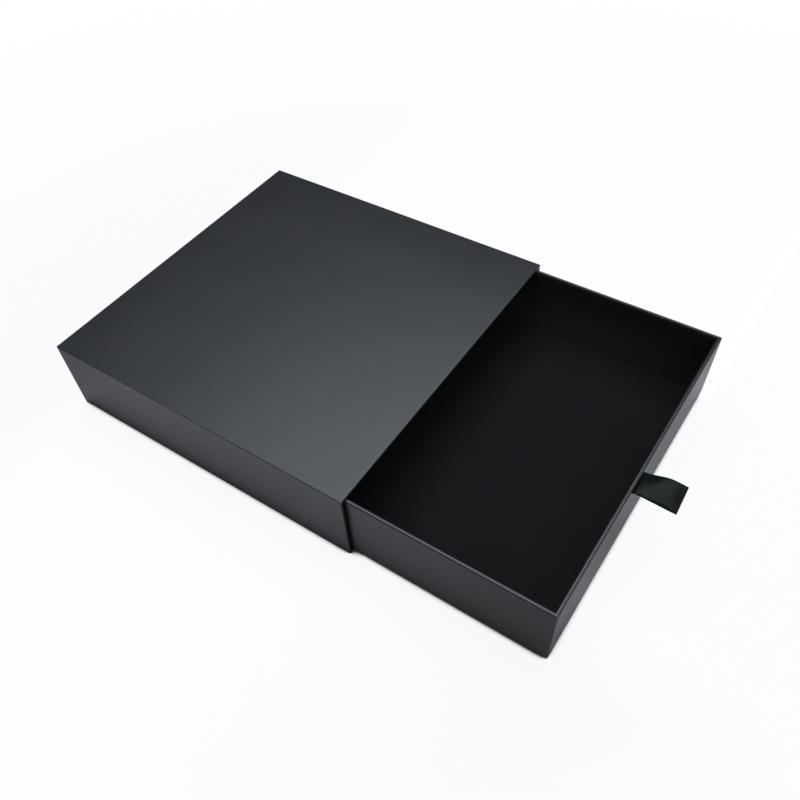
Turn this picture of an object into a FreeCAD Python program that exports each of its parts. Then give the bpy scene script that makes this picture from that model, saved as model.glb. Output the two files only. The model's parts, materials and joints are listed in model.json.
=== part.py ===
import FreeCAD, Part
import operator
import os

import Sketcher

# Sliding drawer gift box: a sleeve of paper-covered greyboard, open at its mouth, a tray that slides out of
# it, and a satin ribbon tab that pulls the tray.
#
# Millimetres. X runs the way the drawer pulls out, Y across the mouth, Z up. The origin is the middle of the
# sleeve's underside. Seen from the mouth, left is -Y and right is +Y. The drawer is drawn where it stands
# when it is pulled out by drawer_out. Its pieces are built in the drawer's own frame, whose origin is the
# middle of the lower edge of its front, and the ribbon tab in a frame on its fold at the slot.

SIZES = {
    # the sleeve
    "sleeve_length": 270.0,  # outside, mouth to back
    "sleeve_width": 270.0,
    "sleeve_height": 63.0,
    "sleeve_board": 2.0,  # thickness of the greyboard
    "wrap_paper": 0.15,  # covering paper of sleeve and drawer
    "lining_paper": 0.15,
    "glue_film": 0.1,  # glue, or gummed tape, between board and covering paper
    "mouth_turn_in": 16.0,  # covering paper turned into the mouth
    "under_return": 15.0,  # covering paper turned under the base
    "back_flap": 15.0,  # covering paper turned over the back
    "sheet_margin": 3.0,  # base and back sheets stop this far from the back edges
    "tape_leg": 12.0,  # width of each half of an edge tape
    "tape_end_gap": 2.0,
    # the drawer
    "drawer_out": 148.8,  # how far the drawer stands out of the mouth
    "drawer_board": 2.0,
    "side_play": 1.4,  # between drawer and lining, each side
    "top_play": 0.35,
    "slide_gap": 0.25,  # under the drawer
    "back_play": 0.6,  # behind the drawer when it is closed
    "rim_turn_in": 15.0,  # covering paper turned over the rim
    "stay_leg": 14.0,  # width of each half of a corner stay
    "stay_end_gap": 2.0,
    "velvet": 0.5,  # flocked lining
    "velvet_drop": 0.8,  # velvet stops this far below the rim
    "tail_room": 0.3,  # between turned-in paper and wall velvet
    # the ribbon
    "ribbon_width": 20.0,
    "ribbon_layer": 0.25,  # thickness of one layer of satin
    "ribbon_reach": 28.5,  # length of the tab outside the front
    "ribbon_rise": 1.5,  # how far the tab's end stands above its slot
    "ribbon_arch": 0.8,  # how far the middle of the tab bows up
    "ribbon_roll": 16.0,  # degrees that the tab twists by its end
    "ribbon_root_gap": 0.3,
    "ribbon_aside": 18.0,  # from the middle of the front, towards the left
    "slot_drop": 2.8,  # from the rim down to the slot's upper edge
    "slot_height": 1.2,
    "slot_end_play": 0.5,
    "tail_length": 26.0,  # glued end of the ribbon, below the slot
}

ON_PLANE = 1e-6  # an edge this close to a plane lies in it

OPERATIONS = {"+": operator.add, "-": operator.sub, "*": operator.mul, "/": operator.truediv}


class Size:
    """A length that knows its value in millimetres and the sheet expression it comes from."""

    def __init__(self, value, text):
        self.value = value
        self.text = text

    def __add__(self, other):
        return combine(self, "+", other)

    def __sub__(self, other):
        return combine(self, "-", other)

    def __mul__(self, other):
        return combine(self, "*", other)

    def __truediv__(self, other):
        return combine(self, "/", other)

    def __neg__(self):
        return combine(0, "-", self)


def as_size(value):
    return value if isinstance(value, Size) else Size(value, str(value))


def combine(left, sign, right):
    left = as_size(left)
    right = as_size(right)
    return Size(OPERATIONS[sign](left.value, right.value), f"({left.text} {sign} {right.text})")


doc = FreeCAD.newDocument("GiftBox")
sheet = doc.addObject("Spreadsheet::Sheet", "Sizes")
for row, (alias, number) in enumerate(SIZES.items(), start=1):
    sheet.set(f"A{row}", alias)
    sheet.set(f"B{row}", str(number))
    sheet.setAlias(f"B{row}", alias)
doc.recompute()
size = {alias: Size(number, f"Sizes.{alias}") for alias, number in SIZES.items()}

# Layers of a sleeve wall, from outside in: wrap, film, board, lining.
wrap = size["wrap_paper"]
film = size["glue_film"]
board = size["sleeve_board"]
lining = size["lining_paper"]
skin = wrap + film
shell = skin + board
wall = shell + lining
mouth_edge = shell + wrap

# The covering paper is creased sharp on the boards' cut edges, so a fold is as round as two thicknesses.
fold_round = wrap * 2

# The sleeve's outside. The base sheet lies under the wrap and the back sheet behind it.
half_length = size["sleeve_length"] / 2
half_width = size["sleeve_width"] / 2
height = size["sleeve_height"]
wrap_back = -half_length + wrap
board_back = wrap_back + skin
board_front = half_length - skin
board_side = half_width - skin
board_low = wrap + skin
board_high = height - skin
room_back = board_back + board
room_side = board_side - board
room_low = board_low + board
room_high = board_high - board
lined_low = room_low + lining
lined_high = room_high - lining
mouth_side = half_width - mouth_edge
tuck = half_length - size["mouth_turn_in"]

# The drawer, in its own frame.
drawer_board = size["drawer_board"]
drawer_wall = skin + drawer_board
rim = drawer_wall + wrap
drawer_half = half_width - wall - size["side_play"]
drawer_low = lined_low + size["slide_gap"]
drawer_height = lined_high - size["top_play"] - drawer_low
drawer_length = half_length - room_back - lining - size["back_play"]
drawer_front = half_length + size["drawer_out"]
floor_top = skin + drawer_board
wall_top = drawer_height - skin
velvet_face = rim + size["tail_room"]

# The ribbon's slot and tab, in the drawer's frame.
satin = size["ribbon_layer"]
slot_high = drawer_height - size["slot_drop"]
slot_low = slot_high - size["slot_height"]
slot_middle = slot_high - size["slot_height"] / 2
slot_left = -size["ribbon_aside"] - size["ribbon_width"] / 2 - size["slot_end_play"]
slot_right = -size["ribbon_aside"] + size["ribbon_width"] / 2 + size["slot_end_play"]
fold_x = size["ribbon_root_gap"] + satin


def bind(thing, target, length):
    """Ties one property of an object to a sheet expression."""
    thing.setExpression(target, as_size(length).text)


def new_body(label, place=None):
    """An empty body with the name of its piece, standing at place, an (x, y, z) triple of sizes."""
    body = doc.addObject("PartDesign::Body", label)
    body.Label = label
    for axis, length in zip("xyz", place or ()):
        bind(body, f"Placement.Base.{axis}", length)
    return body


def new_sketch(body, plane, offset=0):
    """A sketch on one of the body's own origin planes, moved along that plane's normal by offset."""
    sketch = body.newObject("Sketcher::SketchObject", f"{body.Label}_sketch")
    origin_plane = next(part for part in body.Origin.OriginFeatures if part.Role == plane)
    sketch.AttachmentSupport = [(origin_plane, "")]
    sketch.MapMode = "FlatFace"
    bind(sketch, "AttachmentOffset.Base.z", offset)
    return sketch


def draw(sketch, corners):
    """A closed outline of upright and level lines through corners, (across, up) pairs of sizes."""
    corners = [(as_size(across), as_size(up)) for across, up in corners]
    first = sketch.GeometryCount
    points = [FreeCAD.Vector(across.value, up.value, 0) for across, up in corners]
    for start, end in zip(points, points[1:] + points[:1]):
        sketch.addGeometry(Part.LineSegment(start, end), False)
    for index, (across, up) in enumerate(corners):
        line = first + index
        following = first + (index + 1) % len(corners)
        sketch.addConstraint(Sketcher.Constraint("Coincident", line, 2, following, 1))
        upright = across.text == corners[(index + 1) % len(corners)][0].text
        sketch.addConstraint(Sketcher.Constraint("Vertical" if upright else "Horizontal", line))
        kind, length = ("DistanceX", across) if upright else ("DistanceY", up)
        datum = sketch.addConstraint(Sketcher.Constraint(kind, -1, 1, line, 1, length.value))
        sketch.setExpression(f"Constraints[{datum}]", length.text)


def box_corners(low, high):
    """The four corners of a rectangle between two opposite ones."""
    return [(low[0], low[1]), (high[0], low[1]), (high[0], high[1]), (low[0], high[1])]


def pad(body, sketch, length, midplane=False):
    """Adds material from a sketch, along its plane's normal or to both sides of it."""
    feature = body.newObject("PartDesign::Pad", f"{body.Label}_pad")
    feature.Profile = sketch
    feature.Midplane = midplane
    bind(feature, "Length", length)
    doc.recompute()


def pocket(body, sketch, length):
    """Takes material away from a sketch to a depth, against its plane's normal, and makes sure it did."""
    before = body.Shape.Volume
    feature = body.newObject("PartDesign::Pocket", f"{body.Label}_pocket")
    feature.Profile = sketch
    bind(feature, "Length", length)
    doc.recompute()
    if not body.Shape.Volume < before:
        raise RuntimeError(f"{body.Label}: the pocket took nothing away")


def edges_on(shape, *pairs):
    """Names of the edges that lie in both planes of a pair, each plane an (axis, size) tuple."""
    names = []
    for index, edge in enumerate(shape.Edges, start=1):
        ends = [vertex.Point for vertex in edge.Vertexes]
        for pair in pairs:
            planes = [("xyz".index(axis), as_size(length).value) for axis, length in pair]
            if all(abs(end[axis] - value) < ON_PLANE for end in ends for axis, value in planes):
                names.append(f"Edge{index}")
    return names


def round_edges(body, radius, *pairs):
    """Rounds the edges of a body that lie in the given pairs of planes."""
    base = body.Tip
    feature = body.newObject("PartDesign::Fillet", f"{body.Label}_rounding")
    feature.Base = (base, edges_on(base.Shape, *pairs))
    bind(feature, "Radius", radius)
    doc.recompute()


def plate(label, plane, low, high, start, thickness, place=None):
    """A rectangular sheet of board or paper, padded along the normal of the plane it is drawn on."""
    body = new_body(label, place)
    sketch = new_sketch(body, plane, start)
    draw(sketch, box_corners(low, high))
    pad(body, sketch, thickness)
    return body


def block(name, low, high, place=None):
    """A plain block between two opposite corners, used as a cutting tool."""
    tool = doc.addObject("Part::Box", name)
    for axis, side, near, far in zip("xyz", ("Length", "Width", "Height"), low, high):
        bind(tool, side, as_size(far) - near)
        bind(tool, f"Placement.Base.{axis}", near)
    return tool


def cut(label, base, tools):
    """Takes several tools away from a base, one after another. The last result is the piece."""
    result = base
    for number, tool in enumerate(tools, start=1):
        step = doc.addObject("Part::Cut", f"{label}_cut_{number}")
        step.Base = result
        step.Tool = tool
        result = step
    doc.recompute()
    result.Label = label
    return result


# ---------------------------------------------------------------------------------------------------------
# The sleeve
# ---------------------------------------------------------------------------------------------------------


def sleeve_boards():
    """Top and bottom boards cover the side boards, and the back board stands between all four."""
    flat = ((board_back, -board_side), (board_front, board_side))
    upright = room_high - room_low
    return [
        plate("sleeve_top_board", "XY_Plane", *flat, room_high, board),
        plate("sleeve_bottom_board", "XY_Plane", *flat, board_low, board),
        plate("sleeve_left_board", "XY_Plane", (board_back, -board_side), (board_front, -room_side),
              room_low, upright),
        plate("sleeve_right_board", "XY_Plane", (board_back, room_side), (board_front, board_side),
              room_low, upright),
        plate("sleeve_back_board", "YZ_Plane", (-room_side, room_low), (room_side, room_high),
              board_back, board),
    ]


def sleeve_tapes():
    """Gummed tapes folded over the four long edges of the boards."""
    leg = size["tape_leg"]
    gap = size["tape_end_gap"]
    tapes = []
    for upper in (True, False):
        for right in (True, False):
            body = new_body(f"sleeve_tape_{'top' if upper else 'bottom'}_{'right' if right else 'left'}")
            sketch = new_sketch(body, "YZ_Plane", board_back + gap)
            across, inside_y = ((board_side + film, board_side) if right
                                else (-board_side - film, -board_side))
            up, inside_z = (board_high + film, board_high) if upper else (board_low - film, board_low)
            end_y = across - leg if right else across + leg
            end_z = up - leg if upper else up + leg
            draw(sketch, [(across, end_z), (across, up), (end_y, up), (end_y, inside_z),
                          (inside_y, inside_z), (inside_y, end_z)])
            pad(body, sketch, board_front - board_back - gap * 2)
            tapes.append(body)
    return tapes


def sleeve_wrap():
    """One sheet over top and sides, turned under the base, over the back and into the mouth.

    It is the outside of the covered sleeve less the space that boards and glue fill, less what the sheet
    leaves bare: the middle of the underside and of the back, and the inside beyond the mouth's turn-in.
    """
    outside = new_body("sleeve_outside")
    sketch = new_sketch(outside, "YZ_Plane", wrap_back)
    draw(sketch, box_corners((-half_width, wrap), (half_width, height)))
    pad(outside, sketch, half_length - wrap_back)
    hollow = new_sketch(outside, "YZ_Plane", half_length)
    draw(hollow, box_corners((-mouth_side, wrap + mouth_edge), (mouth_side, height - mouth_edge)))
    pocket(outside, hollow, half_length - room_back)
    ends = (("x", wrap_back), ("x", half_length))
    levels = (("z", wrap), ("z", height))
    flanks = (("y", -half_width), ("y", half_width))
    folds = [(first, second) for first in ends for second in levels + flanks]
    folds += [(first, second) for first in levels for second in flanks]
    folds += [(("x", half_length), ("z", height - mouth_edge))]
    folds += [(("x", half_length), ("y", y)) for y in (-mouth_side, mouth_side)]
    round_edges(outside, fold_round, *folds)

    core = new_body("sleeve_core")
    sketch = new_sketch(core, "YZ_Plane", wrap_back + wrap)
    draw(sketch, box_corners((-half_width + wrap, wrap * 2), (half_width - wrap, height - wrap)))
    pad(core, sketch, half_length - wrap_back - wrap * 2)
    hollow = new_sketch(core, "YZ_Plane", half_length - wrap)
    draw(hollow, box_corners((-room_side, room_low), (room_side, room_high)))
    pocket(core, hollow, half_length - wrap - room_back)

    bare_inside = block("bare_inside", (wrap_back + wrap, -room_side, room_low),
                        (tuck, room_side, room_high))
    bare_floor = block("bare_floor", (room_back, -mouth_side, board_low),
                       (half_length * 2, mouth_side, room_low + wrap))
    bare_lip = block("bare_lip", (board_front, -mouth_side, 0),
                     (half_length * 2, mouth_side, room_low + wrap))
    inner_return = half_width - size["under_return"]
    bare_underside = block("bare_underside", (-half_length * 2, -inner_return, 0),
                           (half_length * 2, inner_return, board_low))
    inner_flap = half_width - size["back_flap"]
    bare_back = block("bare_back", (-half_length * 2, -inner_flap, 0),
                      (board_back, inner_flap, height - size["back_flap"]))
    return cut("sleeve_wrap", outside, [core, bare_inside, bare_floor, bare_lip, bare_underside, bare_back])


def sleeve_sheets():
    """The sheets that finish underside and back, and the linings inside."""
    base = new_body("sleeve_base_sheet")
    sketch = new_sketch(base, "XZ_Plane")
    inside_mouth = half_length - wrap
    draw(sketch, [(-half_length + size["sheet_margin"], 0), (half_length, 0), (half_length, room_low + wrap),
                  (tuck, room_low + wrap), (tuck, room_low), (inside_mouth, room_low), (inside_mouth, wrap),
                  (-half_length + size["sheet_margin"], wrap)])
    pad(base, sketch, mouth_side * 2, midplane=True)
    round_edges(base, fold_round, (("x", half_length), ("z", 0)),
                (("x", half_length), ("z", room_low + wrap)))

    back_side = half_width - size["sheet_margin"]
    back = plate("sleeve_back_sheet", "YZ_Plane", (-back_side, size["sheet_margin"]),
                 (back_side, height - size["sheet_margin"]), -half_length, wrap)

    tube = new_body("sleeve_lining")
    sketch = new_sketch(tube, "YZ_Plane", room_back)
    draw(sketch, box_corners((-room_side, room_low), (room_side, room_high)))
    draw(sketch, box_corners((-room_side + lining, lined_low), (room_side - lining, lined_high)))
    pad(tube, sketch, tuck - room_back)

    end = plate("sleeve_back_lining", "YZ_Plane", (-room_side + lining, lined_low),
                (room_side - lining, lined_high), room_back, lining)
    return [base, back, tube, end]


# ---------------------------------------------------------------------------------------------------------
# The drawer
# ---------------------------------------------------------------------------------------------------------

drawer_place = (drawer_front, 0, drawer_low)
drawer_board_side = drawer_half - skin
drawer_board_back = -drawer_length + skin


def drawer_boards():
    """The walls stand on the bottom board, and the side walls stand between front and back."""
    low_back = drawer_board_back + drawer_board
    upright = wall_top - floor_top
    bottom = plate("drawer_bottom_board", "XY_Plane", (drawer_board_back, -drawer_board_side),
                   (-skin, drawer_board_side), skin, drawer_board, drawer_place)
    front = plate("drawer_front_board", "XY_Plane", (-drawer_wall, -drawer_board_side),
                  (-skin, drawer_board_side), floor_top, upright, drawer_place)
    slot = new_sketch(front, "YZ_Plane", -skin)
    draw(slot, box_corners((slot_left, slot_low), (slot_right, slot_high)))
    pocket(front, slot, drawer_board)
    back = plate("drawer_back_board", "XY_Plane", (drawer_board_back, -drawer_board_side),
                 (low_back, drawer_board_side), floor_top, upright, drawer_place)
    left = plate("drawer_left_board", "XY_Plane", (low_back, -drawer_board_side),
                 (-drawer_wall, -drawer_half + drawer_wall), floor_top, upright, drawer_place)
    right = plate("drawer_right_board", "XY_Plane", (low_back, drawer_half - drawer_wall),
                  (-drawer_wall, drawer_board_side), floor_top, upright, drawer_place)
    return [bottom, front, back, left, right]


def drawer_stays():
    """Gummed paper folded round the four upright corners of the tray."""
    leg = size["stay_leg"]
    gap = size["stay_end_gap"]
    stays = []
    for front in (True, False):
        for right in (True, False):
            label = f"drawer_stay_{'front' if front else 'back'}_{'right' if right else 'left'}"
            body = new_body(label, drawer_place)
            sketch = new_sketch(body, "XY_Plane", skin + gap)
            outer_x, inner_x = ((-skin + film, -skin) if front
                                else (drawer_board_back - film, drawer_board_back))
            outer_y, inner_y = ((drawer_board_side + film, drawer_board_side) if right
                                else (-drawer_board_side - film, -drawer_board_side))
            end_x = outer_x - leg if front else outer_x + leg
            end_y = outer_y - leg if right else outer_y + leg
            draw(sketch, [(end_x, outer_y), (outer_x, outer_y), (outer_x, end_y), (inner_x, end_y),
                          (inner_x, inner_y), (end_x, inner_y)])
            pad(body, sketch, wall_top - skin - gap * 2)
            stays.append(body)
    return stays


def tray(label, inset, low, high, hollow, floor):
    """A rectangular tray, set in from the drawer's outside, with walls in to the depth hollow."""
    body = new_body(label, drawer_place)
    sketch = new_sketch(body, "XY_Plane", low)
    draw(sketch, box_corners((-drawer_length + inset, -drawer_half + inset), (-inset, drawer_half - inset)))
    pad(body, sketch, high - low)
    opening = new_sketch(body, "XY_Plane", high)
    draw(opening, box_corners((-drawer_length + hollow, -drawer_half + hollow),
                              (-hollow, drawer_half - hollow)))
    pocket(body, opening, high - floor)
    return body


def at_drawer(low, high):
    """Two corners of the drawer's frame, moved to where the drawer stands."""
    return [tuple(as_size(length) + offset for length, offset in zip(corner, drawer_place))
            for corner in (low, high)]


def drawer_wrap():
    """One sheet under the floor, up the walls, over the rim and turned in, with the ribbon's slot."""
    outside = tray("drawer_outside", 0, 0, drawer_height, rim, wrap)
    ends = (("x", -drawer_length), ("x", 0))
    flanks = (("y", -drawer_half), ("y", drawer_half))
    inner_ends = (("x", -drawer_length + rim), ("x", -rim))
    inner_flanks = (("y", -drawer_half + rim), ("y", drawer_half - rim))
    folds = [(("z", level), side) for level in (0, drawer_height) for side in ends + flanks]
    folds += [(end, flank) for end in ends for flank in flanks]
    folds += [(("z", drawer_height), side) for side in inner_ends + inner_flanks]
    round_edges(outside, fold_round, *folds)

    core = tray("drawer_core", wrap, wrap, drawer_height - wrap, drawer_wall, wrap)
    inside_low = (-drawer_length + drawer_wall, -drawer_half + drawer_wall, wrap)
    inside_high = (-drawer_wall, drawer_half - drawer_wall, drawer_height - size["rim_turn_in"])
    bare_walls = block("bare_walls", *at_drawer(inside_low, inside_high))
    slot = block("wrap_slot", *at_drawer((-rim - wrap, slot_left, slot_low), (wrap, slot_right, slot_high)))
    return cut("drawer_wrap", outside, [core, bare_walls, slot])


def drawer_velvet():
    """A flocked band round the walls and a flocked sheet on the floor inside it."""
    velvet = size["velvet"]
    band = new_body("drawer_wall_velvet", drawer_place)
    sketch = new_sketch(band, "XY_Plane", floor_top)
    for face in (velvet_face, velvet_face + velvet):
        draw(sketch, box_corners((-drawer_length + face, -drawer_half + face), (-face, drawer_half - face)))
    pad(band, sketch, drawer_height - size["velvet_drop"] - floor_top)

    inner = velvet_face + velvet
    floor = plate("drawer_floor_velvet", "XY_Plane", (-drawer_length + inner, -drawer_half + inner),
                  (-inner, drawer_half - inner), floor_top, velvet, drawer_place)
    return [band, floor]


# ---------------------------------------------------------------------------------------------------------
# The ribbon
# ---------------------------------------------------------------------------------------------------------


def ribbon_tail():
    """Both layers pass through the slot and are glued down behind the wall velvet."""
    body = new_body("ribbon_tail", drawer_place)
    sketch = new_sketch(body, "XZ_Plane", size["ribbon_aside"])
    upper = slot_middle + satin
    lower = slot_middle - satin
    draw(sketch, [(0, lower), (0, upper), (-rim - satin, upper), (-rim - satin, lower - size["tail_length"]),
                  (-rim, lower - size["tail_length"]), (-rim, lower)])
    pad(body, sketch, size["ribbon_width"], midplane=True)
    return body


def ribbon_tab():
    """The folded tab: it arches up a little on its way out and rolls towards the left."""
    body = new_body("ribbon_tab", (drawer_front + fold_x, -size["ribbon_aside"], drawer_low + slot_middle))
    reach = size["ribbon_reach"] - fold_x
    middle_up = size["ribbon_rise"] / 2 + size["ribbon_arch"]
    sections = []
    for along, up, turn in ((-satin, 0, 0), (reach / 2, middle_up, size["ribbon_roll"] / 2),
                            (reach, size["ribbon_rise"], size["ribbon_roll"])):
        sketch = new_sketch(body, "YZ_Plane", along)
        bind(sketch, "AttachmentOffset.Base.y", up)
        # The bound angle keeps the axis of the turn it finds, so it needs one to start from.
        first_turn = FreeCAD.Rotation(FreeCAD.Vector(0, 0, 1), 1)
        sketch.AttachmentOffset = FreeCAD.Placement(sketch.AttachmentOffset.Base, first_turn)
        bind(sketch, "AttachmentOffset.Rotation.Angle", turn)
        half = size["ribbon_width"] / 2
        draw(sketch, box_corners((-half, -satin), (half, satin)))
        sections.append(sketch)
    doc.recompute()
    loft = body.newObject("PartDesign::AdditiveLoft", "ribbon_tab_loft")
    loft.Profile = sections[0]
    loft.Sections = sections[1:]
    doc.recompute()
    return body


pieces = [
    *sleeve_boards(),
    *sleeve_tapes(),
    sleeve_wrap(),
    *sleeve_sheets(),
    *drawer_boards(),
    *drawer_stays(),
    drawer_wrap(),
    *drawer_velvet(),
    ribbon_tail(),
    ribbon_tab(),
]
doc.recompute()

for item in doc.Objects:
    if "Invalid" in item.State or "Error" in item.State:
        raise RuntimeError(f"{item.Label} failed: {item.State}")
for piece in pieces:
    if piece.Shape.isNull() or not piece.Shape.isValid():
        raise RuntimeError(f"{piece.Label} has no valid shape")

os.makedirs("parts", exist_ok=True)
for piece in pieces:
    piece.Shape.exportStep(f"parts/{piece.Label}.step")
    corners = piece.Shape.BoundBox
    print(f"{piece.Label}: {len(piece.Shape.Solids)} solid, {piece.Shape.Volume:.1f} mm3, "
          f"x {corners.XMin:.2f}..{corners.XMax:.2f}, y {corners.YMin:.2f}..{corners.YMax:.2f}, "
          f"z {corners.ZMin:.2f}..{corners.ZMax:.2f}")
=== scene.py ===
import json
import math

import bmesh
import bpy
import numpy as np
from mathutils import Euler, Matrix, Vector, noise


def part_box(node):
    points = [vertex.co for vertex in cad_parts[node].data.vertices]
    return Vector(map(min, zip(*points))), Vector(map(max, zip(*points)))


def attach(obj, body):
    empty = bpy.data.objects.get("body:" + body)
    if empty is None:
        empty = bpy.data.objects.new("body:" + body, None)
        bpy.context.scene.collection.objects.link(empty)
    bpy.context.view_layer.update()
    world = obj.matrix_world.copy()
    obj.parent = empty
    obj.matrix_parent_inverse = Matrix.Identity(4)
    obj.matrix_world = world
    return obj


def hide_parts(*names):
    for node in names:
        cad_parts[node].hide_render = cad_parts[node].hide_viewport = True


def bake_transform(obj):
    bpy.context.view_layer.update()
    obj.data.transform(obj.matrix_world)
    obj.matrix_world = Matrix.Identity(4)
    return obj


# Sliding drawer gift box: the covering papers, the flocked lining and the pull ribbon over the packed
# frame. Metres, in the frame's own axes: X the way the drawer pulls out, Y across the mouth, Z up.

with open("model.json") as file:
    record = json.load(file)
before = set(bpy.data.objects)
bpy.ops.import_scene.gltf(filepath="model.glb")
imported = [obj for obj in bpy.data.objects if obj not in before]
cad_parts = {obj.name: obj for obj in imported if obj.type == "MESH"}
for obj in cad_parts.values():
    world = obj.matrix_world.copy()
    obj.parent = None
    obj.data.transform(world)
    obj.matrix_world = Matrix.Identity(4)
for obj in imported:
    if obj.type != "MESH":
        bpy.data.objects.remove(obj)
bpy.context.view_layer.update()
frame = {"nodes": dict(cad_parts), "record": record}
MM = 0.001
LAMP_COLOUR = (0.963, 1.001, 1.040)  # a little cooler than white

# The top board bows down a little towards its far and back edges. Each bow is how deep it would get if it
# went on past the box, and the distances from the sleeve's middle between which it does so.
FAR_BOW = 2.0 * MM
FAR_BOW_SPAN = (75 * MM, 200 * MM)
BACK_BOW = 0.8 * MM
BACK_BOW_SPAN = (100 * MM, 170 * MM)
TOP_FACE = (62.6 * MM, 62.8 * MM)  # the paper this high is the top's, and lower down the sides'


# ---------------------------------------------------------------------------------------------------------
# Node trees
# ---------------------------------------------------------------------------------------------------------


class Wire:
    """An output socket, with arithmetic that adds Math nodes."""

    def __init__(self, tree, socket):
        self.tree = tree
        self.socket = socket

    def __add__(self, other):
        return self.tree.maths("ADD", self, other)

    __radd__ = __add__

    def __sub__(self, other):
        return self.tree.maths("SUBTRACT", self, other)

    def __rsub__(self, other):
        return self.tree.maths("SUBTRACT", other, self)

    def __mul__(self, other):
        return self.tree.maths("MULTIPLY", self, other)

    __rmul__ = __mul__

    def __abs__(self):
        return self.tree.maths("ABSOLUTE", self)

    def step(self, low, high):
        """0 below low, 1 above high, smooth between."""
        return self.tree.node("ShaderNodeMapRange", {"interpolation_type": "SMOOTHSTEP"},
                              {"Value": self, "From Min": low, "From Max": high})


class Tree:
    """A node tree and the few ways in which nodes are added to it."""

    def __init__(self, node_tree):
        self.nodes = node_tree.nodes
        self.links = node_tree.links
        self.nodes.clear()

    def node(self, kind, settings=None, inputs=None, output=0):
        """Adds a node, sets it up, fills or links its inputs, and gives one of its outputs."""
        made = self.nodes.new(kind)
        for name, value in (settings or {}).items():
            setattr(made, name, value)
        for name, value in (inputs or {}).items():
            socket = made.inputs[name]
            if isinstance(value, Wire):
                self.links.new(value.socket, socket)
            else:
                socket.default_value = value
        return Wire(self, made.outputs[output]) if len(made.outputs) else made

    def maths(self, operation, *values):
        return self.node("ShaderNodeMath", {"operation": operation}, dict(enumerate(values)))

    def blend(self, share, first, second):
        """Colour first where share is 0, second where it is 1. Colours are linear (r, g, b)."""
        ends = [value if isinstance(value, Wire) else (*value, 1.0) for value in (first, second)]
        return self.node("ShaderNodeMix", {"data_type": "RGBA"}, {0: share, 6: ends[0], 7: ends[1]},
                         output=2)

    def place(self):
        """Where the shaded point is, in metres."""
        return self.node("ShaderNodeTexCoord", output="Object")

    def axes(self, vector):
        """The three parts of a vector."""
        return [self.node("ShaderNodeSeparateXYZ", None, {0: vector}, output=axis) for axis in range(3)]

    def stretched(self, vector, scale):
        return self.node("ShaderNodeVectorMath", {"operation": "MULTIPLY"}, {0: vector, 1: scale})

    def grain(self, vector, spacing, detail=2.0, roughness=0.5):
        """Noise from 0 to 1 whose marks are about spacing metres apart."""
        fineness = {"Scale": 1 / spacing, "Detail": detail, "Roughness": roughness}
        return self.node("ShaderNodeTexNoise", None, {"Vector": vector, **fineness})

    def relief(self, height, depth):
        """A normal for a surface that stands height times depth high, in metres."""
        return self.node("ShaderNodeBump", None, {"Strength": 1.0, "Distance": depth, "Height": height})


class Finish(Tree):
    """A material with one principled shader."""

    def __init__(self, name, **constants):
        self.material = bpy.data.materials.new(name)
        self.material.use_nodes = True
        super().__init__(self.material.node_tree)
        self.shader = self.nodes.new("ShaderNodeBsdfPrincipled")
        surface = self.nodes.new("ShaderNodeOutputMaterial")
        self.links.new(self.shader.outputs[0], surface.inputs[0])
        for socket, value in constants.items():
            self.shader.inputs[socket.replace("_", " ")].default_value = value

    def feed(self, **wires):
        for socket, wire in wires.items():
            self.links.new(wire.socket, self.shader.inputs[socket.replace("_", " ")])


def covering_paper():
    """Charcoal paper with a dull coating: nearly black in itself, it shows what it mirrors, blurred."""
    finish = Finish("charcoal_paper", IOR=1.5, Specular_Tint=(0.95, 0.985, 1.04, 1.0))
    where = finish.place()
    cloud = finish.grain(where, 0.06, 3.0)
    fibre = finish.grain(where, 0.0012, 3.0, 0.6)
    speck = finish.grain(where, 0.004, 1.0).step(0.74, 0.8)
    along, across, up = finish.axes(where)
    bowed = FAR_BOW * across.step(*FAR_BOW_SPAN) + BACK_BOW * (0 - along).step(*BACK_BOW_SPAN)
    texture = 0.000014 * fibre + 0.000006 * finish.grain(where, 0.0004, 1.0)
    shade = cloud * 0.6 + fibre * 0.4
    finish.feed(
        Base_Color=finish.blend(shade, (0.0070, 0.0082, 0.0092), (0.0105, 0.0115, 0.0128)),
        Roughness=0.31 + 0.06 * cloud + 0.05 * fibre + 0.08 * speck,
        Normal=finish.relief(texture - bowed * up.step(*TOP_FACE), 1.0),
    )
    return finish.material


def lining_paper():
    """Plain black paper inside the sleeve."""
    finish = Finish("black_lining_paper", IOR=1.45)
    where = finish.place()
    fibre = finish.grain(finish.stretched(where, (1.0, 0.35, 1.0)), 0.0009, 4.0, 0.6)
    finish.feed(
        Base_Color=finish.blend(fibre, (0.008, 0.008, 0.009), (0.018, 0.018, 0.019)),
        Roughness=0.62 + 0.15 * fibre,
        Normal=finish.relief(fibre, 0.00003),
    )
    return finish.material


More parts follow.
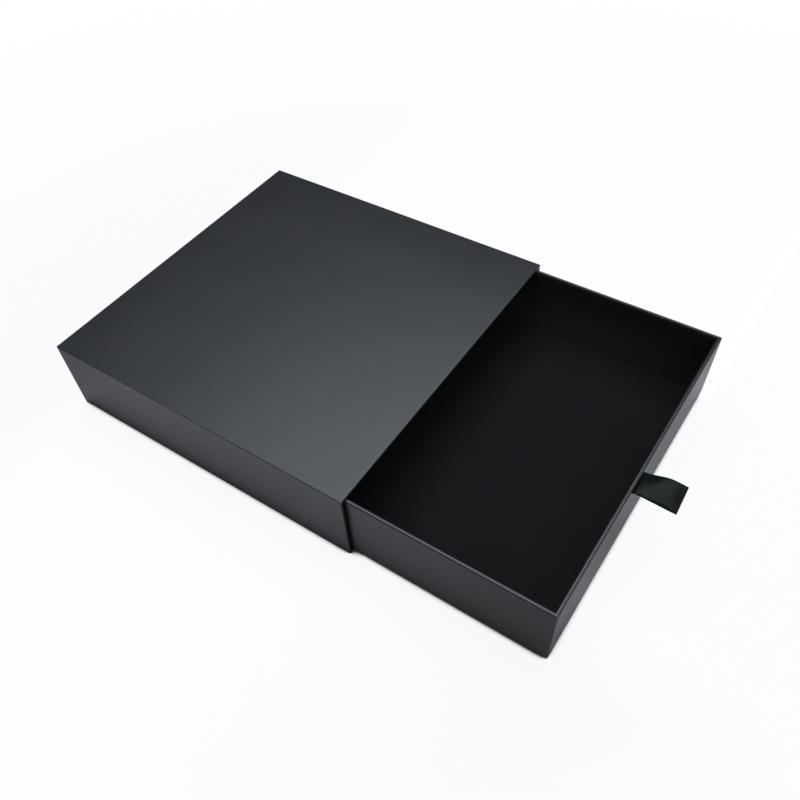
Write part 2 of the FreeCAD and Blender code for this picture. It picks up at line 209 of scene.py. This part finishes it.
def flocked_velvet():
    """Short black flock: no gloss, a faint bloom where it is seen aslant, and a nap brushed in patches.
    Painted light makes it paler on the walls, most so at their foot, and on the floor beside them."""
    finish = Finish("black_velvet", IOR=1.3, Sheen_Weight=0.06, Sheen_Roughness=0.45,
                    Sheen_Tint=(0.75, 0.72, 0.85, 1.0))
    finish.shader.inputs["Specular IOR Level"].default_value = 0.2
    where = finish.place()
    nap = finish.grain(where, 0.035, 3.0)
    pile = finish.grain(where, 0.0005, 2.0, 0.7)
    across, up = finish.axes(where)[1:]
    lying = abs(finish.axes(finish.node("ShaderNodeNewGeometry", output="Normal"))[2])
    flat = finish.blend(nap * 0.6 + pile * 0.4, (0.0051, 0.0051, 0.0061), (0.0099, 0.0098, 0.0116))
    # Painted light: the floor is paler beside the near and far walls.
    flat = finish.blend(abs(across).step(0.100, 0.128), flat, (0.0117, 0.0116, 0.0135))
    # Painted light: the walls are paler than the floor, most so at their foot.
    wall_with_painted_light = finish.blend(up.step(0.005, 0.055), (0.033, 0.033, 0.038), (0.0130, 0.0130, 0.0145))
    finish.feed(
        Base_Color=finish.blend(lying, wall_with_painted_light, flat),
        Roughness=0.85 + 0.12 * pile,
        Normal=finish.relief(pile, 0.00012),
    )
    return finish.material


def satin_weave():
    """Black satin: long floats along the ribbon, a matt selvedge on either side, its darker colour painted
    shade.
    """
    finish = Finish("black_satin", IOR=1.45, Anisotropic=0.3)
    finish.shader.inputs["Specular IOR Level"].default_value = 0.09
    where = finish.place()
    across = finish.axes(where)[1]
    edge = RIBBON_WIDTH / 2
    selvedge = abs(across + RIBBON_ASIDE).step(edge - 1.1 * MM, edge - 0.4 * MM)
    float_grain = finish.grain(finish.stretched(where, (0.12, 1.0, 0.4)), 0.0003, 2.0, 0.6)
    pull = finish.grain(finish.stretched(where, (1.0, 0.25, 0.25)), 0.004, 2.0)
    body = finish.blend(float_grain * 0.5 + pull * 0.5, (0.0028, 0.0042, 0.0042), (0.0060, 0.0085, 0.0085))
    finish.feed(
        # The selvedge's darker colour is painted shade where the edges turn down; its matt roughness is the
        # weave's own.
        Base_Color=finish.blend(selvedge, body, (0.0012, 0.0016, 0.0016)),
        Roughness=0.24 + 0.1 * pull + 0.4 * selvedge,
        Normal=finish.relief(float_grain * (1 - selvedge) + 0.6 * selvedge, 0.00001),
    )
    return finish.material


def grey_board():
    """Recycled grey board, speckled with darker and lighter fibres."""
    finish = Finish("greyboard", IOR=1.4)
    where = finish.place()
    pulp = finish.grain(where, 0.003, 4.0, 0.6)
    speck = finish.grain(where, 0.0007, 1.0).step(0.62, 0.7)
    body = finish.blend(pulp, (0.20, 0.18, 0.155), (0.36, 0.33, 0.29))
    finish.feed(
        Base_Color=finish.blend(speck * 0.6, body, (0.08, 0.07, 0.06)),
        Roughness=0.82 + 0.1 * pulp,
        Normal=finish.relief(pulp, 0.00006),
    )
    return finish.material


def gummed_tape():
    """Brown gummed paper."""
    finish = Finish("gummed_tape", IOR=1.45)
    where = finish.place()
    fibre = finish.grain(finish.stretched(where, (0.2, 1.0, 1.0)), 0.0015, 4.0, 0.65)
    finish.feed(
        Base_Color=finish.blend(fibre, (0.26, 0.15, 0.07), (0.46, 0.31, 0.17)),
        Roughness=0.5 + 0.2 * fibre,
        Normal=finish.relief(fibre, 0.00003),
    )
    return finish.material


# ---------------------------------------------------------------------------------------------------------
# Sheets that are folded round a box
# ---------------------------------------------------------------------------------------------------------

SUPPORT = 0.3 * MM  # a loop this far from a fold keeps the flat beside it flat
PAPER = 0.12 * MM
TAPE = 0.06 * MM
FOLD_STEPS = 7
SHARPEST_FOLD = 0.14 * MM


def spread(low, high, stops, margin):
    """Coordinates from low to high: the ends, a loop beside each end, and the stops that lie between."""
    inner = sorted(stop for stop in stops if low + margin * 2 < stop < high - margin * 2)
    return [low, low + margin, *inner, high - margin, high]


def rounded_loop(half_across, half_up, bend, stops_across, stops_up):
    """Points round a rectangle, counter-clockwise from its right side. Bend is how far a corner's round
    reaches along the top or bottom, then down the side."""
    across = half_across - bend[0]
    up = half_up - bend[1]
    rights = [(half_across, value) for value in spread(-up, up, stops_up, SUPPORT)]
    tops = [(-value, half_up)
            for value in spread(-across, across, [-stop for stop in stops_across], SUPPORT)]
    lefts = [(-half_across, -value)
             for value in spread(-up, up, [-stop for stop in stops_up], SUPPORT)]
    lows = [(value, -half_up) for value in spread(-across, across, stops_across, SUPPORT)]
    loop = []
    for side, centre, start in ((rights, (across, up), 0), (tops, (-across, up), 90),
                                (lefts, (-across, -up), 180), (lows, (across, -up), 270)):
        loop += side
        for step in range(1, FOLD_STEPS):
            angle = math.radians(start + 90 * step / FOLD_STEPS)
            loop.append((centre[0] + bend[0] * math.cos(angle), centre[1] + bend[1] * math.sin(angle)))
    return loop


def fold(along, down):
    """A fold's points: how far each lies from the corner along the first flat, and how far below it."""
    angles = [math.radians(90 * step / FOLD_STEPS) for step in range(FOLD_STEPS + 1)]
    return [(along * (1 - math.sin(angle)), down * (1 - math.cos(angle))) for angle in angles]


def skin(name, rows, keep=lambda centre: True, closed=True, cap=False):
    """A sheet through rows of equal length, less the faces that keep turns down. It closes on itself where
    the last row is the first one again."""
    made = bmesh.new()
    lines = [[made.verts.new(point) for point in row] for row in rows]
    for first, second in zip(lines, lines[1:]):
        for index in range(len(first) if closed else len(first) - 1):
            following = (index + 1) % len(first)
            corners = (first[index], first[following], second[following], second[index])
            centre = sum((corner.co for corner in corners), Vector()) / 4
            if keep(centre):
                made.faces.new(corners)
    if cap:
        made.faces.new(list(reversed(lines[0])))
    loose = [vertex for vertex in made.verts if not vertex.link_faces]
    bmesh.ops.delete(made, geom=loose, context="VERTS")
    bmesh.ops.remove_doubles(made, verts=made.verts, dist=0.0001 * MM)
    mesh = bpy.data.meshes.new(name)
    made.to_mesh(mesh)
    made.free()
    return mesh


def thickened(mesh, thickness, offset=-1.0):
    """The mesh as a closed sheet, thickness deep from its outer face when offset is -1."""
    holder = bpy.data.objects.new(mesh.name, mesh)
    bpy.context.scene.collection.objects.link(holder)
    solid = holder.modifiers.new("thickness", "SOLIDIFY")
    solid.thickness = thickness
    solid.offset = offset
    solid.use_even_offset = False
    settled = bpy.data.meshes.new_from_object(holder.evaluated_get(bpy.context.evaluated_depsgraph_get()))
    name = mesh.name
    bpy.data.objects.remove(holder)
    bpy.data.meshes.remove(mesh)
    settled.name = name
    return settled


def piece(name, mesh, material, body, slot, *nodes):
    """A finished piece on its body, in place of the nodes it stands for."""
    for face in mesh.polygons:
        face.use_smooth = True
    mesh.set_sharp_from_angle(angle=math.radians(40))
    mesh.materials.clear()
    mesh.materials.append(material)
    made = bpy.data.objects.new(name, mesh)
    bpy.context.scene.collection.objects.link(made)
    if body:
        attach(made, body)
    if nodes:
        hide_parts(*nodes)
    return made


def ease(share):
    """0 to 1 along a smooth step."""
    share = min(max(share, 0.0), 1.0)
    return share * share * (3 - 2 * share)


def sleeve_covering(paper):
    """The sheet over the sleeve: flaps on the back, round the four long folds, over the mouth's edge and
    in."""
    low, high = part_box("sleeve_wrap")
    inner_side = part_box("sleeve_base_sheet")[1].y
    turned_in = high.y - inner_side
    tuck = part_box("sleeve_lining")[1].x
    middle_up = (low.z + high.z) / 2
    half_up = (high.z - low.z) / 2
    back = 0.5 * MM
    mouth = (1.6 * MM, 0.5 * MM)  # the mouth's fold starts well before the edge and ends sharply
    inner = 0.5 * MM
    flap = 15 * MM

    path = [(low.x, flap), (low.x, flap / 2), (low.x, back + SUPPORT)]
    path += [(low.x + run, drop) for run, drop in reversed(fold(back, back))]
    path += [(x, 0.0) for x in np.linspace(low.x + back + SUPPORT, high.x - mouth[0] - SUPPORT, 30)]
    path += [(high.x - run, drop) for run, drop in fold(*mouth)]
    path += [(high.x, turned_in - inner - SUPPORT), (high.x, turned_in - inner - SUPPORT / 2)]
    path += [(high.x - drop, turned_in - run) for run, drop in fold(inner, inner)]
    path += [(high.x - inner - SUPPORT, turned_in), ((high.x + tuck) / 2, turned_in), (tuck, turned_in)]

    stops_y = [value * MM for value in range(-120, 121, 12)]
    stops_z = [value * MM for value in (-20, -8, 8, 20)]
    loops = []
    for x, inset in path:
        # The long folds are creased hard at the back and less so towards the mouth.
        slack = ease((x + 0.03) / 0.12)
        full = (0.4 + 0.8 * slack, 0.38 + 0.17 * slack)
        bend = [max(length * MM - inset, SHARPEST_FOLD) for length in full]
        loop = rounded_loop(high.y - inset, half_up - inset, bend, stops_y, stops_z)
        loops.append([Vector((x, across, middle_up + up)) for across, up in loop])

    def covered(centre):
        """The base sheet, not this one, finishes the mouth's lower edge."""
        at_mouth = centre.x > high.x - mouth[0]
        beyond = at_mouth or abs(centre.y) < inner_side - inner and centre.z > low.z + PAPER
        return not (abs(centre.y) < inner_side and centre.z < low.z + turned_in + PAPER and beyond)

    mesh = thickened(skin("sleeve_covering", loops, covered), PAPER)
    return piece("sleeve_covering", mesh, paper, "sleeve", "charcoal_paper", "sleeve_wrap")


def drawer_covering(paper):
    """The sheet over the tray: one panel underneath, up the walls, over the rim, with the slot for the
    ribbon."""
    low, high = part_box("drawer_wrap")
    tail_low, tail_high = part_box("ribbon_tail")
    middle = (low + high) / 2
    loose = 0.1 * MM  # the paper stands off the walls by this much, which leaves room for a round rim
    half = (high - low) / 2 + Vector((loose, loose, 0))
    top = high.z + loose
    rim = 2.4 * MM + loose
    foot = 0.5 * MM
    outer = 1.15 * MM
    inner = 0.5 * MM
    slot_high = tail_high.z + 0.35 * MM
    slot_low = slot_high - 1.2 * MM
    slot_left = tail_low.y - 0.5 * MM
    slot_right = tail_high.y + 0.5 * MM

    path = [(low.z, 30 * MM), (low.z, foot + SUPPORT)]
    path += [(low.z + run, drop) for run, drop in reversed(fold(foot, foot))]
    path += [(value * MM, 0.0) for value in (4, 8, 16, 26, 36, 46, 52, 55)]
    path += [(slot_low, 0.0), (slot_high, 0.0), (top - outer - SUPPORT, 0.0)]
    path += [(top - drop, inset) for inset, drop in reversed(fold(outer, outer))]
    path += [(top, (outer + rim - inner) / 2)]
    path += [(top - drop, rim - run) for run, drop in fold(inner, inner)]
    path += [(top - inner - SUPPORT, rim), (top - 8 * MM, rim), (top - 15 * MM, rim)]

    flap = 8 * MM  # the side panels' paper turns this far round the corners, under the end panels
    lap = 0.6 * MM  # the end panels come up over the flap's edge within this
    step_up = 0.09 * MM
    edge = half.y - flap
    slot_stops = [slot_left - middle.y, slot_right - middle.y]
    flap_stops = [sign * value for sign in (-1, 1) for value in (edge - lap, edge, edge + lap)]
    stops_y = sorted([value * MM for value in (-110, -90, -70, -50, 8, 30, 50, 70, 90, 110)]
                     + slot_stops + flap_stops)
    stops_x = [value * MM for value in range(-120, 121, 15)]
    loops = []
    for z, inset in path:
        radius = max(1.0 * MM - inset, 0.2 * MM)
        loop = rounded_loop(half.x - inset, half.y - inset, (radius, radius), stops_x, stops_y)
        loops.append([Vector((middle.x + along, middle.y + across, z)) for along, across in loop])

    for loop in loops:
        for point in loop:
            if abs(abs(point.x - middle.x) - half.x) < 1e-6 and point.z > low.z + foot:
                # The end panels lie over the turned corner flaps and stand proud there by a paper.
                share = ease((abs(point.y) - edge + lap / 2) / lap)
                point.x += math.copysign(step_up * share, point.x - middle.x)

    def covered(centre):
        in_slot = slot_left < centre.y < slot_right and slot_low < centre.z < slot_high
        return not (in_slot and centre.x > middle.x + half.x - 0.5 * MM)

    mesh = thickened(skin("drawer_covering", loops, covered, cap=True), PAPER)
    return piece("drawer_covering", mesh, paper, "drawer", "charcoal_paper", "drawer_wrap")


def corner_tape(name, tape, body, along):
    """Gummed paper folded round a corner of the boards, in place of the node of that name."""
    low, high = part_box(name)
    wrap_low, wrap_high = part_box(body + "_wrap")
    first, second = [axis for axis in range(3) if axis != along]
    ends = []
    for axis in (first, second):
        outwards = low[axis] + high[axis] > wrap_low[axis] + wrap_high[axis]
        ends.append((high[axis], low[axis]) if outwards else (low[axis], high[axis]))
    bend = 0.6 * MM
    leg = high.y - low.y
    run = [(leg, 0.0), *fold(bend, bend), (0.0, leg)]
    rows = []
    for end in (low[along], high[along]):
        row = []
        for distances in run:
            point = Vector((end, end, end))
            for axis, (corner, inside), distance in zip((first, second), ends, distances):
                point[axis] = corner + math.copysign(distance, inside - corner)
            row.append(point)
        rows.append(row)
    mesh = thickened(skin(name + "_folded", rows, closed=False), TAPE, offset=0.0)
    return piece(name + "_folded", mesh, tape, body, "gummed_tape", name)


def uneven(mesh, depth, spacing, seed):
    """Moves the mesh's points by a smooth noise, so that a glued soft sheet isn't dead flat."""
    noise.seed_set(seed)
    for vertex in mesh.vertices:
        vertex.co += noise.noise_vector(vertex.co / spacing) * depth


def velvet_walls(velvet):
    """The flocked band round the tray's walls, its upper edge rounded over just below the rim."""
    low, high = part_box("drawer_wall_velvet")
    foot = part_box("drawer_floor_velvet")[1].z - 0.3 * MM  # tucked in behind the floor's edge
    middle = (low + high) / 2
    half = (high - low) / 2
    pile = 0.5 * MM
    curl = pile / 2
    corner = 1.6 * MM

    path = [(foot, pile)]
    path += [(value * MM, pile) for value in (8, 14, 20, 26, 32, 38, 44, 50, 54, 57)]
    path += [(high.z - curl - 0.2 * MM, pile)]
    for step in range(7):
        angle = math.radians(180 * step / 6)
        path.append((high.z - curl + curl * math.sin(angle), curl + curl * math.cos(angle)))
    path += [(value * MM, 0.0) for value in (50, 30, 15)]
    path += [(foot, 0.0), (foot, pile)]
    stops = [value * MM for value in range(-120, 121, 8)]
    loops = []
    for z, inset in path:
        radius = corner - inset
        loop = rounded_loop(half.x - inset, half.y - inset, (radius, radius), stops, stops)
        loops.append([Vector((middle.x + along, middle.y + across, z)) for along, across in loop])
    loops.reverse()
    mesh = skin("velvet_walls", loops)
    uneven(mesh, depth=0.12 * MM, spacing=0.03, seed=1)
    made = piece("velvet_walls", mesh, velvet, "drawer", "black_velvet", "drawer_wall_velvet")
    return made


def velvet_floor(velvet):
    """The flocked sheet on the tray's floor, pressed down a little where it meets the walls."""
    low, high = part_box("drawer_floor_velvet")
    steps = 60
    cloth = 0.25 * MM
    pressed = 0.2 * MM
    pressed_within = 3 * MM
    made = bmesh.new()
    bmesh.ops.create_grid(made, x_segments=steps, y_segments=steps, size=0.5)
    for vertex in made.verts:
        across = 1 - 2 * abs(vertex.co.x)
        along = 1 - 2 * abs(vertex.co.y)
        edge = min(across * (high.x - low.x), along * (high.y - low.y)) / 2
        vertex.co = Vector((low.x + (vertex.co.x + 0.5) * (high.x - low.x),
                            low.y + (vertex.co.y + 0.5) * (high.y - low.y),
                            high.z - pressed * (1 - ease(edge / pressed_within))))
    mesh = bpy.data.meshes.new("velvet_floor")
    made.to_mesh(mesh)
    made.free()
    uneven(mesh, depth=0.1 * MM, spacing=0.04, seed=2)
    mesh = thickened(mesh, cloth)
    made = piece("velvet_floor", mesh, velvet, "drawer", "black_velvet", "drawer_floor_velvet")
    return made


# ---------------------------------------------------------------------------------------------------------
# The ribbon
# ---------------------------------------------------------------------------------------------------------

RIBBON_WIDTH = 20 * MM
RIBBON_ASIDE = 18 * MM  # from the middle of the front, towards the near side
RIBBON_REACH = 29.0  # millimetres out from the front to the fold at the tip
RIBBON_THREADS = sorted([side * share for side in (-1, 1)
                         for share in (1.0, 0.985, 0.965, 0.945, 0.92, 0.8, 0.6, 0.4, 0.2)])
SATIN = 0.1 * MM


def far_edge_rise(out):
    """How high the tab's far edge stands over the slot, both in millimetres. It drops again at the tip."""
    climb = 4.8 * ease(out / 19)
    droop = 0.6 * ease((out - 20) / 9)
    return climb - droop


def near_edge_rise(out):
    """The same for the near edge, which springs up at the slot and then sinks evenly."""
    root = 0.6
    spring = 1.8 * ease((out + root) / 2.4) * min(out + root, 1.0)
    sinking = 2.0 * out / RIBBON_REACH
    return spring - sinking


def ribbon_strand(side, tail):
    """One layer from its glued end to the tip, as distances out from the front and heights over the
    slot."""
    behind = tail + 0.13 - 0.06 * side
    points = [(behind, -drop) for drop in (26, 18, 8, 4, 1.5, 0.5 - 0.1 * side)]
    points += [(behind + 0.09, -0.12 + 0.08 * side), (behind + 0.25, 0.1 * side)]
    points += [(out, 0.1 * side) for out in (-1.8, -1.2, -0.6, 0.0)]
    for out in np.linspace(0.5, RIBBON_REACH - 0.3, 44):
        parted = 0.16 * ease(out / 3) * (1 - ease((out - RIBBON_REACH + 5) / 5))
        points.append((out, side * (0.1 + parted)))
    return points


def ribbon(satin):
    """The folded ribbon: both ends glued behind the velvet, through the slot, out to the fold of the
    tab."""
    tail_low, tail_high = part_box("ribbon_tail")
    front = tail_high.x
    slot_middle = tail_high.z - 0.25 * MM
    tail = (tail_low.x - front) / MM
    tip = [(RIBBON_REACH - 0.3 + 0.16 * math.sin(math.radians(angle)), 0.1 * math.cos(math.radians(angle)))
           for angle in (30, 60, 90, 120, 150)]
    path = ribbon_strand(1, tail) + tip + list(reversed(ribbon_strand(-1, tail)))

    rows = []
    for out, offset in path:
        beyond = max(out, 0.0)
        row = []
        for share in RIBBON_THREADS:
            rise = near_edge_rise(beyond) * (1 - share) / 2 + far_edge_rise(beyond) * (1 + share) / 2
            bow = (1 - share * share) * math.sin(math.pi * min(beyond / (RIBBON_REACH - 1.5), 1.0))
            # The selvedges and the fold at the tip turn down.
            bow -= 0.4 * max(ease((abs(share) - 0.92) / 0.08), ease((beyond - RIBBON_REACH + 0.9) / 0.9))
            askew = -0.014 * share * beyond  # the tip isn't folded quite square
            row.append((front + (out + askew) * MM, -RIBBON_ASIDE + share * RIBBON_WIDTH / 2,
                        slot_middle + (rise + bow + offset) * MM))
        rows.append(row)
    mesh = thickened(skin("pull_ribbon", rows, closed=False), SATIN, offset=0.0)
    strip = piece("pull_ribbon", mesh, satin, None, "black_satin", "ribbon_tab", "ribbon_tail")
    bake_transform(strip)
    return strip


# ---------------------------------------------------------------------------------------------------------
# Surroundings
# ---------------------------------------------------------------------------------------------------------


def camera():
    """Looks down at the open drawer from beyond its near front corner."""
    data = bpy.data.cameras.new("camera")
    data.sensor_width = 36
    data.lens = 34.85
    data.shift_x = 0.0133
    data.shift_y = 0.0628
    data.clip_start = 0.01
    made = bpy.data.objects.new("camera", data)
    made.location = (0.33096, -0.33067, 0.46685)
    made.rotation_euler = Euler([math.radians(angle) for angle in (37.7345, 3.0664, 34.1430)])
    bpy.context.scene.collection.objects.link(made)
    bpy.context.scene.camera = made


def towards(azimuth, elevation):
    """A unit vector, azimuth counted from +X to +Y."""
    azimuth, elevation = math.radians(azimuth), math.radians(elevation)
    return Vector((math.cos(elevation) * math.cos(azimuth), math.cos(elevation) * math.sin(azimuth),
                   math.sin(elevation)))


def lamp(name, azimuth, elevation, distance, spread_angle, strength):
    """A round soft lamp aimed at the box. Strength is its brightness, where 1 is white."""
    data = bpy.data.lights.new(name, "AREA")
    data.shape = "DISK"
    data.color = LAMP_COLOUR
    data.size = 2 * distance * math.tan(math.radians(spread_angle))
    data.energy = strength * math.pi * math.pi * (data.size / 2) ** 2
    made = bpy.data.objects.new(name, data)
    away = towards(azimuth, elevation)
    made.location = away * distance
    made.rotation_euler = away.to_track_quat("Z", "Y").to_euler()
    bpy.context.scene.collection.objects.link(made)
    return made


def room():
    """A plain room, darker at the back than at the front, and white where the camera looks past the box."""
    world = bpy.data.worlds.new("room")
    world.use_nodes = True
    bpy.context.scene.world = world
    tree = Tree(world.node_tree)
    direction = tree.node("ShaderNodeTexCoord", output="Generated")
    along, across, up = tree.axes(direction)
    frontness = (along * 0.7 - across * 0.7).step(-0.9, 0.7)
    ceiling = frontness * up.step(0.4, 0.9)
    low_wall = (along * 0.8 + across * 0.6).step(0.55, 1.0) * (1 - up.step(0.15, 0.5))
    high_wall = along.step(0.35, 0.8) * up.step(0.2, 0.5)
    light = 0.05 + 0.2 * frontness + 0.5 * ceiling + 0.4 * low_wall + 0.8 * high_wall
    seen = tree.node("ShaderNodeLightPath", output="Is Camera Ray")
    strength = light * (1 - seen) + seen
    colour = tree.blend(seen, LAMP_COLOUR, (1.0, 1.0, 1.0))
    background = tree.node("ShaderNodeBackground", None, {"Color": colour, "Strength": strength})
    tree.node("ShaderNodeOutputWorld", None, {"Surface": background})


def table_top():
    """A pale table, plain apart from painted shade and painted light near the box, that the camera sees as
    white apart from the box's shadow, part of which is painted shade.
    """
    mesh = bpy.data.meshes.new("table_top")
    reach = 4.0
    corners = [(-reach, -reach, 0), (reach, -reach, 0), (reach, reach, 0), (-reach, reach, 0)]
    mesh.from_pydata(corners, [], [(0, 1, 2, 3)])
    material = bpy.data.materials.new("pale_table")
    material.use_nodes = True
    tree = Tree(material.node_tree)
    where = tree.place()
    along, across = tree.axes(where)[:2]
    ground = tree.blend(tree.grain(where, 0.05, 2.0), (0.725, 0.70, 0.725), (0.745, 0.72, 0.745))
    away = tree.node("ShaderNodeVectorMath", {"operation": "LENGTH"}, {0: where}, output="Value")
    # Painted shade darkens it beside the drawer's near side, round the drawer's near corner and behind the
    # sleeve.
    beside = along.step(0.09, 0.34) * (0 - across).step(0.115, 0.140)
    corner = along.step(0.27, 0.30) * (0 - across).step(0.07, 0.115) * across.step(-0.140, -0.115)
    behind = (0 - along).step(0.11, 0.17)
    dull = (beside + 0.5 * corner + 0.75 * behind) * (1 - away.step(0.3, 0.5))
    ground = tree.blend(dull, ground, (0.33, 0.35, 0.35))
    # Painted light makes it bright in front of the drawer right up to the drawer's foot, and painted shade
    # a little darker further out.
    front = along.step(0.282, 0.286) * across.step(-0.128, -0.06)
    past_foot = along.step(0.286, 0.297)
    ground = tree.blend(front * past_foot, ground, (0.69, 0.665, 0.69))
    ground = tree.blend(front * (1 - past_foot), ground, (0.96, 0.94, 0.96))
    # Everywhere else painted shade darkens it within a centimetre of the box; in front of the drawer this
    # painted shade is left out.
    open_air = tree.node("ShaderNodeAmbientOcclusion", {"samples": 16}, {"Distance": 0.010}, output="AO")
    shade = (1 - open_air.step(0.25, 1.0)) * (1 - front)
    ground = tree.blend(shade, ground, (0.055, 0.055, 0.055))
    matt = tree.node("ShaderNodeBsdfPrincipled", None,
                     {"Base Color": ground, "Roughness": 1.0, "Specular IOR Level": 0.0})
    white = tree.node("ShaderNodeEmission", None, {"Color": (1.0, 1.0, 1.0, 1.0), "Strength": 1.0})
    seen = tree.node("ShaderNodeLightPath", output="Is Camera Ray")
    share = seen * (0.92 + 0.08 * away.step(0.4, 1.0)) * open_air.step(0.44, 0.64)
    surface = tree.node("ShaderNodeMixShader", None, {0: share, 1: matt, 2: white})
    tree.node("ShaderNodeOutputMaterial", None, {"Surface": surface})
    mesh.materials.append(material)
    made = bpy.data.objects.new("table_top", mesh)
    bpy.context.scene.collection.objects.link(made)


# ---------------------------------------------------------------------------------------------------------
# The box
# ---------------------------------------------------------------------------------------------------------

paper = covering_paper()
lining = lining_paper()
velvet = flocked_velvet()
satin = satin_weave()
finishes = {
    "greyboard": grey_board(),
    "gummed_tape": gummed_tape(),
    "black_velvet": velvet,
    "black_satin": satin,
    "black_lining_paper": lining,
    "charcoal_paper": paper,
}
for row in frame["record"]["subparts"]:
    node = frame["nodes"][row["node"]]
    node.data.materials.clear()
    node.data.materials.append(finishes[row["material_slot"]])

sleeve_covering(paper)
drawer_covering(paper)
for edge in ("top_left", "top_right", "bottom_left", "bottom_right"):
    corner_tape("sleeve_tape_" + edge, finishes["gummed_tape"], "sleeve", along=0)
for edge in ("front_left", "front_right", "back_left", "back_right"):
    corner_tape("drawer_stay_" + edge, finishes["gummed_tape"], "drawer", along=2)
velvet_walls(velvet)
velvet_floor(velvet)
ribbon(satin)

camera()
lamp("key_lamp", azimuth=119, elevation=74, distance=3.0, spread_angle=27, strength=3.5)
room()
table_top()
bpy.context.scene.view_settings.view_transform = "Standard"
